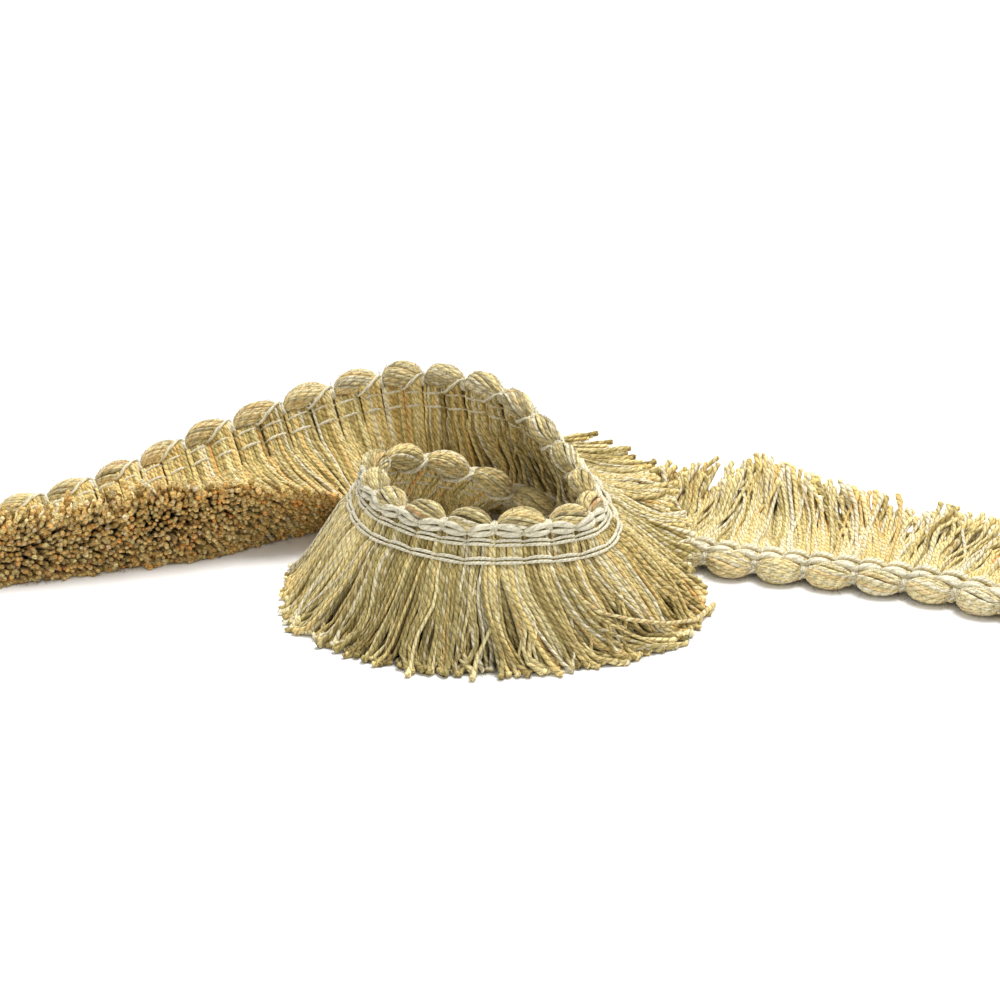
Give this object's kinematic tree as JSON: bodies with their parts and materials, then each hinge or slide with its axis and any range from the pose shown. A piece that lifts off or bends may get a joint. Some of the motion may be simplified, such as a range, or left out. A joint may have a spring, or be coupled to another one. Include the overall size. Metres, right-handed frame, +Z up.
{
  "type": "brush fringe trim",
  "caption": "Cut length of furnishing fringe with a crown of bound yarn puffs, a woven heading and a thick cut brush, lying in a standing coil with two flat ends.",
  "frame": {"origin": "under the middle of the trim's bounding box, on the table it lies on", "axes": "+X from the face-down end to the face-up end, +Y away from the viewer of the picture, +Z up from the table"},
  "size_m": [0.2759, 0.1056, 0.0397],
  "materials": {
    "crown_yarn": "soft twisted yarn, straw and olive, matt with a faint sheen",
    "heading_weave": "woven yarn, cream cords over olive wefts, matt",
    "fringe_yarn": "cut twisted yarn, mixed straw, gold, olive and cream, matt"
  },
  "bodies": {
    "root": {"crown": "crown_yarn", "heading": "heading_weave", "fringe_01": "fringe_yarn", "fringe_02": "fringe_yarn", "fringe_03": "fringe_yarn", "fringe_04": "fringe_yarn", "fringe_05": "fringe_yarn", "fringe_06": "fringe_yarn", "fringe_07": "fringe_yarn", "fringe_08": "fringe_yarn", "fringe_09": "fringe_yarn", "fringe_10": "fringe_yarn", "fringe_11": "fringe_yarn", "fringe_12": "fringe_yarn", "fringe_13": "fringe_yarn", "fringe_14": "fringe_yarn", "fringe_15": "fringe_yarn", "fringe_16": "fringe_yarn", "fringe_17": "fringe_yarn", "fringe_18": "fringe_yarn", "fringe_19": "fringe_yarn"}
  },
  "joints": []
}
